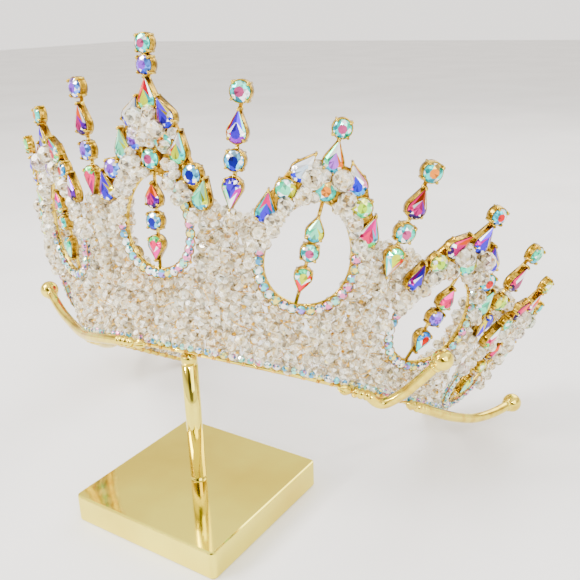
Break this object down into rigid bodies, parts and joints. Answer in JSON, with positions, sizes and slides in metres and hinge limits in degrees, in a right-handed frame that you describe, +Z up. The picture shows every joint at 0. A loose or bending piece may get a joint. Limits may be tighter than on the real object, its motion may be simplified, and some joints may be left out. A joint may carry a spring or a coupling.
{
  "type": "pageant crown on a display stand",
  "caption": "Open-backed pageant crown of wired clear beads with pierced arches and spikes of set stones, propped on a small square display stand with a post.",
  "frame": {"origin": "centre of the underside of the stand's square plate", "axes": "+Z up, X and Y along the plate's sides, the crown's front towards -Y and its open back towards +Y"},
  "size_m": [0.1957, 0.1469, 0.143],
  "materials": {
    "mirror_gold": "mirror-polished light yellow gold plate",
    "cast_gold": "cast and plated light yellow gold, glossy, textured backs",
    "clear_crystal": "clear faceted beads on gold wire",
    "coated_crystal": "cut glass with an iridescent coating"
  },
  "bodies": {
    "root": {"stand_plate": "mirror_gold", "stand_post": "mirror_gold", "bead_wall": "clear_crystal", "rim_bar": "cast_gold", "front_arch": "cast_gold", "front_arch_stones": "coated_crystal", "arch_right_1": "cast_gold", "arch_right_2": "cast_gold", "arch_right_3": "cast_gold", "arch_left_1": "cast_gold", "arch_left_2": "cast_gold", "arch_left_3": "cast_gold", "arch_right_1_stones": "coated_crystal", "arch_right_2_stones": "coated_crystal", "arch_right_3_stones": "coated_crystal", "arch_left_1_stones": "coated_crystal", "arch_left_2_stones": "coated_crystal", "arch_left_3_stones": "coated_crystal", "spike_right_1": "cast_gold", "spike_right_2": "cast_gold", "spike_right_3": "cast_gold", "spike_right_4": "cast_gold", "spike_left_1": "cast_gold", "spike_left_2": "cast_gold", "spike_left_3": "cast_gold", "spike_left_4": "cast_gold", "spike_right_1_stones": "coated_crystal", "spike_right_2_stones": "coated_crystal", "spike_right_3_stones": "coated_crystal", "spike_right_4_stones": "coated_crystal", "spike_left_1_stones": "coated_crystal", "spike_left_2_stones": "coated_crystal", "spike_left_3_stones": "coated_crystal", "spike_left_4_stones": "coated_crystal", "scroll_front_left": "cast_gold", "scroll_front_right": "cast_gold", "scroll_back_left": "cast_gold", "scroll_back_right": "cast_gold"}
  },
  "joints": []
}
